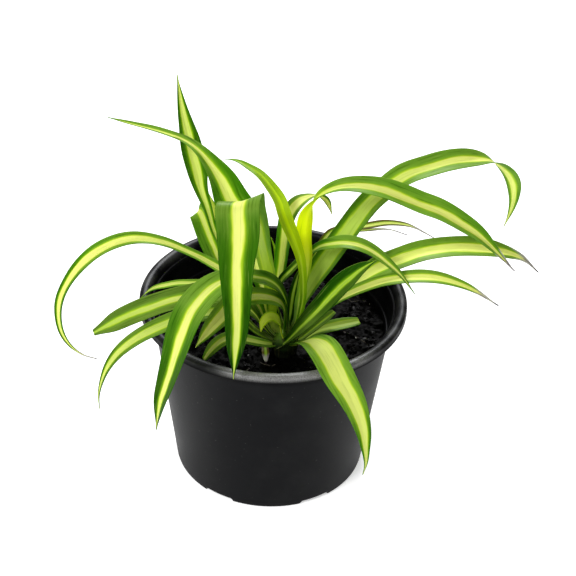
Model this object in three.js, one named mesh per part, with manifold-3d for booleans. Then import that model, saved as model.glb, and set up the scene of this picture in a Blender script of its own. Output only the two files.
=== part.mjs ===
// A young variegated spider plant in a black nursery pot.
// Millimetres, +Z up. The origin is the middle of the pot's underside, on the surface it stands on.
// -Y is the front. Every leaf grows from one short crown, which stands in a hole in the soil.

import * as THREE from 'three';
import { mergeVertices } from 'three/addons/utils/BufferGeometryUtils.js';
import Module from 'manifold-3d';

const wasm = await Module();
wasm.setup();

// Driving dimensions of the pot
const RIM_RADIUS = 77.5;
const POT_HEIGHT = 113;
const BASE_RADIUS = 57.2;
const WALL_RADIUS_UNDER_LIP = 70.3;
const WALL = 1.5;
const LIP_DEPTH = 5;
const LIP_SKIN = 1.6;
const RIM_BAND = 5.7;
const SHOULDER_DEPTH = 6.8;
const SHOULDER_RADIUS = 68.8;
const COLLAR_DEPTH = 19;
const LEDGE_RADIUS = 66.2;
const FLOOR_TOP = 4;
const FOOT_COUNT = 6;
const NOTCH_DEGREES = 17;
const NOTCH_HEIGHT = 2.4;
const NOTCH_OFFSET_DEGREES = -60.5;
const DRAIN_RADIUS = 4;
const DRAIN_CIRCLE = 40;
const CHANNEL_HALF_WIDTH = 5;
const CHANNEL_PAST_DRAIN = 8;
const CUT_CLEAR = 4;
const POT_SEGMENTS = 48;
const SMALL_SEGMENTS = 20;

// Driving dimensions of the soil and the crown
const GAP = 0.35;
const SOIL_TOP = 96;
const SOIL_DROP = 3.5;
const SOIL_EVEN_SHARE = 0.55;
const SOIL_LUMP = 1.1;
const SOIL_SEGMENTS = 40;
const CROWN_X = 7;
const CROWN_Y = -29;
const CROWN_RADIUS = 7.5;
const CROWN_DEPTH = 9;
const CROWN_RISE = 13;

// Driving dimensions of the leaves
const BLADE = 0.8;
const TIP_WIDTH = 0.8;
const RING_STEP = 10;
const RING_TURN = THREE.MathUtils.degToRad(15);
const LAST_RING_SHARE = 0.97;
const NARROW = 10;

// Each leaf: its heading seen from above (0 is right, 90 is back, 180 is left, 270 is front),
// and its midrib as [reach from the crown's axis, height above the soil, shift to its left].
// Width and roll are given at even places from root to tip. Roll turns the blade about its
// midrib, and fold is how far each half is raised from flat.
const LEAVES = [
  { name: 'leaf_tall_left', heading: 148, fold: 14,
    path: [[3, 6, -3], [21.5, 16.5, -4.5], [33.5, 26, -8], [45, 40, -9], [55, 55, -9], [59, 67, -9],
      [64, 79, -9], [67, 91, -9], [70, 101, -9], [73, 113, -9], [76, 125, -9], [78, 137, -9],
      [79, 145, -9]],
    width: [3, 4, 5, 4.5, 4.5, 4.5, 5, 8, 12.5, 13, 9, 4.5, 0], roll: [0, -10, -30, -30, -30] },
  { name: 'leaf_back_left_long', heading: 155, fold: 26,
    path: [[4, 7], [11.5, 18.5, -0.5], [17, 34.5, -4], [24.5, 55, -5.5], [28.5, 72.5, -5.5],
      [37, 85.5, -4.5], [43.5, 97, -4.5], [50.5, 105, -4.5], [57.5, 111, -4.5], [65, 114, -5],
      [76, 115, -5.5], [88, 115.5, -5.5], [100.5, 115.5, -5.5], [115, 116, -5.5]],
    width: [3, 4, 7, 12, 17.5, 22, 22.5, 18.5, 11.5, 7, 6.3, 5.8, 4.2, 0],
    roll: [0, -30, -50, -50, -40, -10, 0, 0] },
  { name: 'leaf_inner_left_arch', heading: 142, fold: 20,
    path: [[-5, 10.5], [-8, 22, -0.5], [-9, 37.5, -3], [-7, 58, -3.5], [-4, 70, -2], [2, 79, -2.5],
      [7, 85, -4], [11.5, 90.5, -6], [18.5, 97, -6], [25.5, 101.5, -6], [32.5, 103, -6],
      [39.5, 104, -6], [46.5, 103, -6], [50.5, 101.5, -6]],
    width: [3, 4, 4.5, 5, 6.5, 8.5, 8, 6, 3.5, 0], roll: [-22, -22, -20] },
  { name: 'leaf_front_blade', heading: 275, fold: 8,
    path: [[1, 9], [0, 15, -6], [-2, 37, -7.5], [-3.5, 61, -12.5], [-0.5, 81, -16.5],
      [5.5, 95.5, -21.5], [13.5, 106, -25.5], [22.5, 108, -28.5], [29.5, 98.5, -28.5],
      [36.5, 78.5, -29.5], [43.5, 52.5, -29.5], [47.5, 35.5, -30.5], [51.5, 19.5, -31.5]],
    width: [3, 5, 8, 10, 15, 23, 23, 18.5, 14.5, 10.5, 0], roll: [0, 4, 11, 4, 0] },
  { name: 'leaf_front_left_blade', heading: 220, fold: 14,
    path: [[0, 9, 2.5], [1, 22, 2.5], [1.5, 31, 2.5], [3, 38.5, 1], [7, 46.5, -1], [12.5, 51.5, -2],
      [20.5, 57], [32.5, 62.5], [44.5, 64], [54.5, 61], [64.5, 53.5], [71.5, 40], [78, 23], [82, 12.5],
      [85.5, 3.5], [89, -14.5]],
    width: [3, 5.5, 8.5, 9.5, 9.5, 12.5, 17.5, 19.3, 18.5, 16, 13.2, 8, 0],
    roll: [-35, -45, -40, -10, -10, -10, -5, 0] },
  { name: 'leaf_left_arch', heading: 185, fold: 24,
    path: [[3, 6], [10, 15], [15.5, 28.5, -1.5], [25.5, 44.5, -3.5], [37.5, 53.5, -3.5],
      [52.5, 63.5, -3.5], [68, 71, -3.5], [84, 73, -3.5], [100, 67, -3.5], [111.5, 57, -3.5],
      [120.5, 43.5, -3.5], [124.5, 32.5, -3.5], [125.5, 20, -3.5], [124, 11, -3.5], [120, 3, -3.5],
      [113.5, -3.5, -3.5], [106, -6.5, -3.5]],
    width: [3, 4.5, 6.5, 7.5, 7.4, 6.2, 7, 9.2, 9.8, 8.8, 6.8, 5.8, 4, 2, 0],
    roll: [0, -20, -25, -25, -25, -30, -45, -60, -80, -90] },
  { name: 'leaf_left_upper', heading: 186, fold: 12,
    path: [[3, 3], [12, 15, -0.5], [18, 25, -1.5], [33.5, 37.5, -3.5], [44.5, 37.5, -3.5],
      [53.5, 36, -3.5], [64, 33.5, -3.5], [75, 29.5, -3.5], [86, 24.5, -3.5], [98, 18, -3.5],
      [107, 13, -3.5]],
    width: [3, 7, 11, 13.5, 14, 13.3, 13, 13.4, 12, 4], roll: [0, -35, -35] },
  { name: 'leaf_left_lower', heading: 205, fold: 12,
    path: [[3, 3.5, 0.5], [18.5, 16.5], [33, 33, -1.5], [51, 37, -1.5], [65.5, 36.5, -1.5],
      [79.5, 33.5, -1.5], [88.5, 30, -1.5], [97.5, 24, -1.5], [103.5, 16.5, -1.5], [107.5, 7.5, -1.5],
      [109.5, -1.5, -1.5], [109.5, -11, -1.5]],
    width: [3, 6, 9, 11, 11.5, 10.5, 9.5, 8, 5.5, 2.5, 0], roll: [0, -30, -15] },
  { name: 'leaf_left_small', heading: 172, fold: 14,
    path: [[4, 2, -3], [19.5, 12.5, -2.5], [35.5, 33, -4.5], [46.5, 36, -4.5], [55.5, 35, -4.5],
      [62.5, 34, -4.5], [69.5, 31.5, -4.5], [75, 29.5, -4.5], [80, 25.5, -4.5], [84, 20.5, -4.5]],
    width: [2, 3, 5, 5, 4.5, 4.5, 4, 0], roll: [0, -20, -20] },
  { name: 'leaf_left_inner', heading: 212, fold: 14,
    path: [[1, 9], [2, 17.5, 1.5], [2, 26.5, 2], [4, 33.5, 2], [10, 39.5, 2.5], [17, 42.5, 1.5],
      [24.5, 44, 0.5], [33.5, 43.5, 0.5], [41.5, 38.5, 2], [50.5, 33, 3.5], [59.5, 25.5, 4.5]],
    width: [3, 4.5, 7, 9.5, 11, 12, 13, 13.5, 12, 8, 0], roll: [-40, -40, -30, -20, -15, -10] },
  { name: 'leaf_left_on_soil', heading: 210, fold: 10,
    path: [[3, 4], [10, 6.5], [18.5, 11], [25.5, 15, -0.5], [34, 19, -1], [41, 18, -1], [46.5, 14, -1],
      [50.5, 9, -1]],
    width: [3, 7, 8, 8, 8, 8, 8, 7, 3], roll: [0, -20, -20] },
  { name: 'leaf_right_front', heading: 298, fold: 10,
    path: [[3, 3.5], [11, 9.5, 1.5], [19, 17, 3], [28.5, 22, 4], [39.5, 23.5, 3.5], [54, 16, 4.5],
      [67.5, 4.5, 7.5], [75, -6.5, 8.5], [79, -17, 8.5], [80.5, -25, 8.5], [79, -34.5, 8]],
    width: [4, 11, 15.5, 18.5, 18.5, 16, 13, 8.5, 3.5, 0], roll: [0, 10, 0] },
  { name: 'leaf_right_dark', heading: 330, fold: 14,
    path: [[0, 4.5, -6], [5, 11, -7], [12.5, 22.5, -6], [22, 37, -2.5], [32, 53, -1], [40, 64, -1],
      [46, 72, -1], [54, 80.5, -1.5]],
    width: [3, 6, 10.5, 13.5, 14, 14.5, 14.5, 12, 6.5, 0], roll: [30, 50, 50] },
  { name: 'leaf_right_big_arch', heading: 20, fold: 18,
    path: [[3, 10, 0.5], [7.5, 18, 1.5], [13, 28.5, 4.5], [22, 42.5, 8], [29.5, 54, 8], [36.5, 64, 8],
      [43.5, 74, 8], [51, 83.5, 8], [60, 90.5, 8], [70, 96.5, 8.5], [85, 99.5, 8.5], [96.5, 101, 8.5],
      [109.5, 100.5, 8.5], [122.5, 97.5, 8.5], [131.5, 90.5, 8.5], [138, 81.5, 8.5], [140.5, 70.5, 8.5],
      [139.5, 61, 8.5], [136.5, 52, 8.5]],
    width: [3, 6.5, 12, 15.5, 15.5, 15.5, 15.5, 15, 15, 15, 15, 14, 12, 11, 9.5, 4.5, 0],
    roll: [0, 10, 20, 25, 25, 25, 24, 22, -28, -50, -40] },
  { name: 'leaf_right_second_arch', heading: 0, fold: 22,
    path: [[3.5, 11, -1], [7, 22, -1.5], [7.5, 30, 1.5], [11, 53.5, 6], [9.5, 70, 7], [10, 80, 7],
      [11.5, 89, 7], [15.5, 96, 7], [21.5, 101, 6], [28.5, 103.5, 6], [37, 104, 6], [48, 102.5, 6],
      [59, 98.5, 6], [70, 93.5, 6], [80.5, 89.5, 6], [92.5, 82.5, 6], [103.5, 75, 6], [114.5, 64.5, 6],
      [125.5, 53, 6]],
    width: [3, 4.5, 6.5, 8.5, 11, 12.5, 10, 12, 14.5, 16, 16, 14.5, 11.5, 5.5, 0],
    roll: [-60, -60, -60, -60, -52, -5, 18, 25, 25, 25, 25, 25, 20] },
  { name: 'leaf_right_small_arch', heading: 352, fold: 22,
    path: [[-0.5, 11, 5], [-4.5, 21.5, 6.5], [-6, 32, 8], [-4, 40.5, 9.5], [1.5, 47.5, 10.5],
      [7, 53.5, 13.5], [12.5, 58.5, 15], [17, 63.5, 12.5], [22, 67, 9.5], [30, 69.5, 8.5],
      [39, 69, 7.5], [47, 65.5, 7], [54.5, 60.5, 6], [61.5, 54.5, 5.5], [70.5, 44.5, 3.5]],
    width: [3, 4, 5, 5.5, 5.5, 5.5, 6.5, 9.5, 10, 8.8, 6.5, 3, 0],
    roll: [30, 45, 45, 30, 20, 20, 20, 20] },
  { name: 'leaf_right_broad', heading: 14, fold: 18,
    path: [[4, 7], [15, 18.5, 0.5], [27, 29.5, 1.5], [37, 36, 2.5], [46.5, 42, 2.5], [54.5, 46.5, 2.5],
      [66, 50.5, 2.5], [77, 53.5, 2.5], [89, 54.5, 2.5], [101, 54, 2.5], [113, 52, 2.5],
      [125.5, 48.5, 2.5], [138.5, 43, 2.5], [151.5, 31, 2.5]],
    width: [3, 4.5, 7.5, 12, 15, 15.5, 15.5, 15, 15, 11.5, 6, 0], roll: [0, 15, 20, 20] },
  { name: 'leaf_right_lower', heading: 358, fold: 18,
    path: [[4, 5, -2], [16, 20.5], [25.5, 30.5, 2.5], [35, 37, 4], [51.5, 46, 4], [62, 49, 4],
      [73, 50.5, 4], [84, 50, 4], [95, 47, 4], [104, 43, 4], [118, 34, 4]],
    width: [3, 3.5, 5.5, 8, 8.5, 8.5, 9, 9.5, 8.5, 6, 3, 0], roll: [0, 20, 20] },
  { name: 'leaf_right_on_soil', heading: 8, fold: 10,
    path: [[4, 2.5], [11, 6], [18.5, 11, 0.5], [29, 13.5, 1], [43, 14.5, 3]],
    width: [3, 6, 8.5, 10, 10, 9, 6], roll: [0, 10] },
  { name: 'leaf_right_low_dark', heading: 340, fold: 12,
    path: [[3, 3, 0.5], [8.5, 7.5, 3.5], [16, 15, 9], [23, 20.5, 18]],
    width: [3, 5.5, 8, 8.5, 7.5, 4], roll: [20, 30] },
  { name: 'leaf_back_right_dry', heading: 40, fold: 12,
    path: [[2, 5, 1], [8, 14, 5], [17, 29, 8], [30, 44.5, 11], [41, 56.5, 11], [53, 55.5, 9.5],
      [66, 53, 8.5], [82, 49, 8.5], [101, 40.5, 8.5], [117, 29, 8.5], [129, 19.5, 8.5]],
    width: [2, 3.5, 5.5, 6.5, 6.5, 6, 4, 0], roll: [0, 10] },
  { name: 'leaf_back_right_thin', heading: 40, fold: 8,
    path: [[3, 7, -1], [8, 11, 1], [16, 24, 4], [25.5, 42.5, 6], [36, 56, 6], [48, 57.5, 4.5],
      [60, 55.5, 2.5], [77, 50, 2.5], [96, 38.5, 2.5]],
    width: [2, 2, 2.3, 2.5, 2.2, 0], roll: [0, 0] },
  { name: 'leaf_back_centre_arch', heading: 50, fold: 18,
    path: [[1, 9, 5], [7, 18.5, 12.5], [9.5, 33, 13.5], [11.5, 49, 13], [12.5, 63.5, 12.5],
      [14.5, 75.5, 12.5], [19.5, 80, 12.5], [25.5, 81.5, 12.5], [32.5, 80.5, 13], [39.5, 78.5, 13],
      [45, 75, 13], [50, 69.5, 13], [55, 59, 13]],
    width: [3, 5, 7.5, 9, 10, 10, 10, 9.5, 7, 4.5, 0], roll: [0, 0, 0, 10, -20, -40] },
  { name: 'leaf_back_left_folded', heading: 138, fold: 10,
    path: [[3, 3, -4], [20, 6, -4.5], [40, 13.5, -9], [52, 19.5, -9.5], [61, 27.5, -9.5],
      [70, 40.5, -9.5], [77.5, 53, -9.5], [79.5, 54, -10], [81, 50, -11.5], [81, 41, -13.5],
      [79, 30, -15.5]],
    width: [3, 6, 8, 10, 12, 14, 14.5, 13.5, 9, 0], roll: [0, -15, -30, -35] },
  { name: 'leaf_inner_narrow_dark', heading: 150, fold: 14,
    path: [[3, 10, -1], [8, 17, -1.5], [12.5, 26.5, -5], [17.5, 36.5, -9.5], [24.5, 47.5, -12],
      [28.5, 55, -12]],
    width: [2, 3, 4, 4, 3, 0], roll: [0, -30] },
  { name: 'leaf_inner_upright', heading: 60, fold: 14,
    path: [[3, 11, 0.5], [6.5, 19.5, 0.5], [10.5, 30.5, 1.5], [16, 43.5, 1], [22.5, 45.5, 1]],
    width: [2, 5, 6, 5, 3, 0], roll: [0, 0] },
  { name: 'leaf_front_curl', heading: 205, fold: 14,
    path: [[2.5, 8.5, 4], [4.5, 15.5, 4], [6.5, 23.5, 5.5], [10.5, 29.5, 6.5], [14, 31, 7], [17, 28, 7],
      [18, 21.5, 7]],
    width: [1.2, 2.2, 5, 7, 6.5, 4.5, 0], roll: [0, -30, -40] },
  { name: 'leaf_front_on_soil', heading: 240, fold: 8,
    path: [[3, 2, -1], [3, 2.5, -5], [4, 3, -8.5], [8, 3.5, -8], [12.5, 4, -5], [17, 3.5, -2],
      [21, 3, 0.5]],
    width: [1.5, 2, 2.5, 3.8, 4.4, 3.2, 0], roll: [0, 0] },
  { name: 'leaf_back_sprout', heading: 105, fold: 8,
    path: [[4, 3, -4.5], [12, 4.5, -3], [20.5, 13], [28, 30.5, -1], [31.5, 42.5, -2.5], [36.5, 52.5]],
    width: [2, 2, 3, 4, 3.5, 0], roll: [0, 0] },
  { name: 'leaf_back_left_upright', heading: 148, fold: 8,
    path: [[3, 7, -5.5], [27, 15, -14], [40, 25, -16.5], [47, 34, -15], [52, 47.5, -15], [58, 59, -15],
      [61.5, 68, -15], [65, 77, -15]],
    width: [2, 3, 4, 4.5, 5, 7, 6, 0], roll: [0, -20, -40] },
];

// Turns a closed three.js geometry into a solid for joining and cutting.
function solidFrom(geometry) {
  const bare = geometry.index ? geometry.clone() : geometry;
  bare.deleteAttribute('normal');
  bare.deleteAttribute('uv');
  const merged = mergeVertices(bare, 1e-4);
  return new wasm.Manifold(new wasm.Mesh({
    numProp: 3,
    vertProperties: new Float32Array(merged.attributes.position.array),
    triVerts: new Uint32Array(merged.index.array),
  }));
}

function geometryFrom(solid) {
  const mesh = solid.getMesh();
  const geometry = new THREE.BufferGeometry();
  geometry.setAttribute('position', new THREE.BufferAttribute(mesh.vertProperties, 3));
  geometry.setIndex(new THREE.BufferAttribute(mesh.triVerts, 1));
  return geometry;
}

function closed(points, triangles) {
  const geometry = new THREE.BufferGeometry();
  geometry.setAttribute('position', new THREE.Float32BufferAttribute(points.flatMap((p) => p.toArray()), 3));
  geometry.setIndex(triangles);
  return geometry;
}

// A lathe turned about +Z from [radius, height] pairs.
function turned(profile, segments) {
  const points = profile.map(([radius, height]) => new THREE.Vector2(radius, height));
  return new THREE.LatheGeometry(points, segments).rotateX(Math.PI / 2);
}

function placed(geometry, x, y, z, turn = 0) {
  return geometry.rotateZ(turn).translate(x, y, z);
}

// The pot: a tapered wall, a hanging lip round a groove, a shoulder and a ledge inside, and
// feet between notches.
function potSolid() {
  const lipUnder = POT_HEIGHT - LIP_DEPTH;
  const shoulder = POT_HEIGHT - SHOULDER_DEPTH;
  const ledge = POT_HEIGHT - COLLAR_DEPTH;
  const bandInside = RIM_RADIUS - RIM_BAND;
  const body = solidFrom(turned([
    [0, 0],
    [BASE_RADIUS - 1.2, 0],
    [BASE_RADIUS, 1.2],
    [WALL_RADIUS_UNDER_LIP, lipUnder - 0.4],
    [bandInside + 1, POT_HEIGHT - 3.4],
    [RIM_RADIUS - LIP_SKIN - 0.2, POT_HEIGHT - 2.4],
    [RIM_RADIUS - LIP_SKIN, lipUnder],
    [RIM_RADIUS, lipUnder],
    [RIM_RADIUS - 0.1, POT_HEIGHT - 2],
    [RIM_RADIUS - 1.4, POT_HEIGHT - 0.2],
    [RIM_RADIUS - 3.4, POT_HEIGHT],
    [bandInside + 1, POT_HEIGHT - 0.6],
    [bandInside, POT_HEIGHT - 1.6],
    [SHOULDER_RADIUS + 1.6, shoulder + 3.1],
    [SHOULDER_RADIUS + 0.2, shoulder + 0.7],
    [SHOULDER_RADIUS, shoulder],
    [LEDGE_RADIUS + 1.2, ledge + 0.4],
    [LEDGE_RADIUS, ledge],
    [BASE_RADIUS - WALL, FLOOR_TOP],
    [0, FLOOR_TOP],
  ], POT_SEGMENTS));
  return cutFeet(body);
}

// Six notches part the foot ring. Behind each, a shallow channel leads to a drain hole.
function cutFeet(body) {
  let pot = body;
  for (let i = 0; i < FOOT_COUNT; i += 1) {
    const turn = THREE.MathUtils.degToRad(NOTCH_OFFSET_DEGREES + i * 360 / FOOT_COUNT);
    const outer = BASE_RADIUS + CUT_CLEAR;
    const half = outer * Math.tan(THREE.MathUtils.degToRad(NOTCH_DEGREES / 2));
    const inner = DRAIN_CIRCLE - CHANNEL_PAST_DRAIN;
    const outline = new THREE.Shape([
      new THREE.Vector2(inner, -CHANNEL_HALF_WIDTH), new THREE.Vector2(outer, -half),
      new THREE.Vector2(outer, half), new THREE.Vector2(inner, CHANNEL_HALF_WIDTH),
    ]);
    const channel = new THREE.ExtrudeGeometry(outline, { depth: NOTCH_HEIGHT + 1, bevelEnabled: false });
    pot = pot.subtract(solidFrom(placed(channel, 0, 0, -1, turn)));
    const drill = new THREE.CylinderGeometry(DRAIN_RADIUS, DRAIN_RADIUS, 3 * FLOOR_TOP, SMALL_SEGMENTS);
    const x = DRAIN_CIRCLE * Math.cos(turn);
    const y = DRAIN_CIRCLE * Math.sin(turn);
    pot = pot.subtract(solidFrom(placed(drill.rotateX(Math.PI / 2), x, y, 0)));
  }
  return pot;
}

// The top of the soil: even round the crown, falling away to the wall, with small lumps.
function soilHeight(x, y, edge) {
  const coarse = Math.sin(x * 0.21 + 1.3) * Math.cos(y * 0.24 - 0.4);
  const fine = Math.sin(x * 0.63 + y * 0.37) * Math.cos(y * 0.71 - x * 0.29 + 2);
  const away = THREE.MathUtils.smoothstep(Math.hypot(x, y) / edge, SOIL_EVEN_SHARE, 1);
  return SOIL_TOP - SOIL_DROP * away + SOIL_LUMP * (0.6 * coarse + 0.6 * fine);
}

function wallInside(height) {
  const ledge = POT_HEIGHT - COLLAR_DEPTH;
  const share = (height - FLOOR_TOP) / (ledge - FLOOR_TOP);
  return THREE.MathUtils.lerp(BASE_RADIUS - WALL, LEDGE_RADIUS, share);
}

function soilSolid() {
  const bottom = FLOOR_TOP + GAP;
  const edge = wallInside(SOIL_TOP - SOIL_DROP) - 2 * GAP;
  const rings = [1, 0.86, 0.72, 0.58, 0.44, 0.3, 0.16, 0];
  const geometry = turned([
    [0, bottom],
    [wallInside(bottom) - 2 * GAP, bottom],
    ...rings.map((share) => [edge * share, SOIL_TOP]),
  ], SOIL_SEGMENTS);
  const spots = geometry.attributes.position;
  for (let i = 0; i < spots.count; i += 1) {
    if (spots.getZ(i) === SOIL_TOP) spots.setZ(i, soilHeight(spots.getX(i), spots.getY(i), edge));
  }
  const holeRadius = CROWN_RADIUS + GAP;
  const hole = new THREE.CylinderGeometry(holeRadius, holeRadius, 2 * CROWN_DEPTH, SMALL_SEGMENTS);
  return solidFrom(geometry).subtract(
    solidFrom(placed(hole.rotateX(Math.PI / 2), CROWN_X, CROWN_Y, SOIL_TOP)));
}

// The crown is a short stub that swells a little above the soil. Extra makes a larger one,
// which cuts the leaf roots so that each is seated just clear of it.
function crownSolid(extra) {
  const shape = turned([
    [0, GAP - CROWN_DEPTH - extra],
    [CROWN_RADIUS + extra, GAP - CROWN_DEPTH - extra],
    [CROWN_RADIUS + extra, 1.5],
    [CROWN_RADIUS + 1 + extra, 4],
    [CROWN_RADIUS + 0.6 + extra, 8],
    [CROWN_RADIUS - 2 + extra, CROWN_RISE - 1.5 + extra],
    [0, CROWN_RISE + extra],
  ], SMALL_SEGMENTS);
  return solidFrom(placed(shape, CROWN_X, CROWN_Y, SOIL_TOP));
}

// Values given at even places along a leaf, read between them on a smooth curve.
function along(values, share) {
  const last = values.length - 1;
  const spot = share * last;
  const i = Math.min(Math.floor(spot), last - 1);
  const t = spot - i;
  const [a, b, c, d] = [-1, 0, 1, 2].map((k) => values[THREE.MathUtils.clamp(i + k, 0, last)]);
  return b + 0.5 * t * (c - a + t * (2 * a - 5 * b + 4 * c - d + t * (3 * b - a - 3 * c + d)));
}

// Places for the blade's cross-sections, closer together where it bends.
function ringShares(curve) {
  const fine = 240;
  const length = curve.getLength();
  const shares = [0];
  let spent = 0;
  for (let i = 1; i <= fine; i += 1) {
    const bend = curve.getTangentAt((i - 1) / fine).angleTo(curve.getTangentAt(i / fine));
    spent += length / fine / RING_STEP + bend / RING_TURN;
    if (spent >= 1) {
      shares.push(i / fine);
      spent = 0;
    }
  }
  if (shares[shares.length - 1] > LAST_RING_SHARE) shares.pop();
  return [...shares, 1];
}

// One blade: a strip with a folded cross-section, swept along its midrib.
function leafGeometry(leaf) {
  const heading = THREE.MathUtils.degToRad(leaf.heading);
  const ahead = new THREE.Vector3(Math.cos(heading), Math.sin(heading), 0);
  const left = new THREE.Vector3(-Math.sin(heading), Math.cos(heading), 0);
  const root = new THREE.Vector3(CROWN_X, CROWN_Y, SOIL_TOP);
  const midrib = leaf.path.map(([reach, height, shift = 0]) => root.clone()
    .addScaledVector(ahead, reach)
    .addScaledVector(left, shift)
    .setZ(SOIL_TOP + height));
  const curve = new THREE.CatmullRomCurve3(midrib);
  curve.arcLengthDivisions = 600;
  const across = Math.max(...leaf.width) > NARROW ? [-1, -0.5, 0, 0.5, 1] : [-1, 0, 1];
  const fold = THREE.MathUtils.degToRad(leaf.fold);
  const shares = ringShares(curve);
  const points = [];
  for (const share of shares) {
    const centre = curve.getPointAt(share);
    const run = curve.getTangentAt(share);
    const flat = left.clone().addScaledVector(run, -left.dot(run)).normalize();
    const upper = run.clone().cross(flat);
    const roll = THREE.MathUtils.degToRad(along(leaf.roll, share));
    const side = flat.clone().multiplyScalar(Math.cos(roll)).addScaledVector(upper, Math.sin(roll));
    const face = run.clone().cross(side);
    const half = Math.max(TIP_WIDTH, along(leaf.width, share)) / 2;
    for (const skin of [BLADE / 2, -BLADE / 2]) {
      for (const place of across) {
        points.push(centre.clone()
          .addScaledVector(side, place * half * Math.cos(fold))
          .addScaledVector(face, Math.abs(place) ** 1.3 * half * Math.sin(fold) + skin));
      }
    }
  }
  return closed(points, bladeTriangles(shares.length, across.length));
}

// Upper and lower faces are split along the same diagonals, so they never cross.
function bladeTriangles(rings, count) {
  const triangles = [];
  const quad = (a, b, c, d) => triangles.push(a, b, c, a, c, d);
  for (let ring = 0; ring < rings - 1; ring += 1) {
    const top = ring * 2 * count;
    const next = top + 2 * count;
    for (let i = 0; i < count - 1; i += 1) {
      quad(top + i, next + i, next + i + 1, top + i + 1);
      triangles.push(top + count + i, next + count + i + 1, next + count + i);
      triangles.push(top + count + i, top + count + i + 1, next + count + i + 1);
    }
    quad(top, top + count, next + count, next);
    quad(top + count - 1, next + count - 1, next + 2 * count - 1, top + 2 * count - 1);
  }
  const last = (rings - 1) * 2 * count;
  for (let i = 0; i < count - 1; i += 1) {
    quad(i, i + 1, count + i + 1, count + i);
    quad(last + i, last + count + i, last + count + i + 1, last + i + 1);
  }
  return triangles;
}

const plant = new THREE.Group();

function add(name, solid, colour, roughness) {
  const material = new THREE.MeshStandardMaterial({ color: colour, roughness, metalness: 0 });
  const mesh = new THREE.Mesh(geometryFrom(solid), material);
  mesh.name = name;
  plant.add(mesh);
}

add('pot', potSolid(), 0x26272a, 0.55);
add('soil', soilSolid(), 0x15110e, 0.95);
add('crown', crownSolid(0), 0x8fae4a, 0.6);
const rootCutter = crownSolid(GAP);
for (const leaf of LEAVES) {
  add(leaf.name, solidFrom(leafGeometry(leaf)).subtract(rootCutter), 0x5c9a24, 0.45);
}

export default plant;
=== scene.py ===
# A young variegated spider plant in a black nursery pot.
# Tables are in millimetres and meshes in metres, +Z up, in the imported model's own frame.
# -Y is the front. The origin is the middle of the pot's underside.

import bisect
import math
import random

import bmesh
import bpy
from mathutils import Matrix, Vector, noise


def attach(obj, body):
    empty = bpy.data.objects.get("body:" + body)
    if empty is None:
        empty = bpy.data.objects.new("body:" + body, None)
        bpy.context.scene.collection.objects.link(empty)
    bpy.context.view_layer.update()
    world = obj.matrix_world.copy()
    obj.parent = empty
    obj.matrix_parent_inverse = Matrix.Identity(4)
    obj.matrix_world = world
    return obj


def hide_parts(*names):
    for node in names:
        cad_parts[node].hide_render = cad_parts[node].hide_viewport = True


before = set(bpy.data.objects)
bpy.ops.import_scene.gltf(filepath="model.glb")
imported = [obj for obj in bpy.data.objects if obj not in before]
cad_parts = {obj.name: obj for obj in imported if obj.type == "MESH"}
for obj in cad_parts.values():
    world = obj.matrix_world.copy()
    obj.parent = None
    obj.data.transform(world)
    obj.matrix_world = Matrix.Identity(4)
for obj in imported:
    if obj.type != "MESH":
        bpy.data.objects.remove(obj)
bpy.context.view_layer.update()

MM = 0.001

# Pot
RIM_RADIUS = 77.5
POT_HEIGHT = 113.0
BASE_RADIUS = 57.2
WALL_RADIUS_UNDER_LIP = 70.3
WALL = 1.5
LIP_DEPTH = 5.0
LIP_SKIN = 1.6
RIM_BAND = 5.7
SHOULDER_DEPTH = 6.8
SHOULDER_RADIUS = 68.8
COLLAR_DEPTH = 19.0
LEDGE_RADIUS = 66.2
FLOOR_TOP = 4.0
FOOT_COUNT = 6
NOTCH_DEGREES = 17.0
NOTCH_HEIGHT = 2.4
NOTCH_OFFSET_DEGREES = -60.5
DRAIN_RADIUS = 4.0
DRAIN_CIRCLE = 40.0
CHANNEL_PAST_DRAIN = 8.0
POT_STEPS = 240
LUG_DEGREES = 197.0
LUG_SIZE = (7.0, 6.0, 4.5)

# Soil and crown
SOIL_TOP = 96.0
SOIL_DROP = 3.5
SOIL_EVEN_SHARE = 0.55
SOIL_BOTTOM = 4.4
SOIL_EDGE = 65.4
SOIL_BASE_RADIUS = 55.1
SOIL_CELLS = 150
ROOT_COUNT = 16
ROOT_STEP = 2.2
DENT_SEED = 4
CROWN = Vector((7.0, -29.0, 96.0))
CROWN_RADIUS = 7.5
CROWN_RISE = 13.0
CROWN_DEPTH = 8.6
CROWN_STEPS = 72

# Leaves
LEAF_THICKNESS = 0.45
RING_SPACING = 3.0
ACROSS = 10
TIP_WIDTH = 0.5
SHEATH_SHARE = 0.16
SHEATH_FOLD = 50.0
SHEATH_SPREAD = 1.1
WIDTH_WAVE = 0.05
MIDRIB_GROOVE = 0.22
EDGE_RIPPLE = 0.35

# Camera and light, in metres and degrees
CAMERA_PLACE = Vector((0, -0.6476, 0.5602))
CAMERA_AIM = Vector((0.0082, 0, 0.1181))
CAMERA_ROLL = 2.06
LENS_MM = 85
SENSOR_MM = 36
WORLD_STRENGTH = 0.42
TABLE_GLOW = 0.5
LAMP_AIM = Vector((0, 0, 0.12))
LAMPS = [
    {"name": "key_lamp", "place": (-0.75, -0.95, 1.2), "size": 0.6, "watts": 20},
    {"name": "back_lamp", "place": (0.06, 1.1, 1.0), "size": 0.5, "watts": 20},
]

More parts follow.
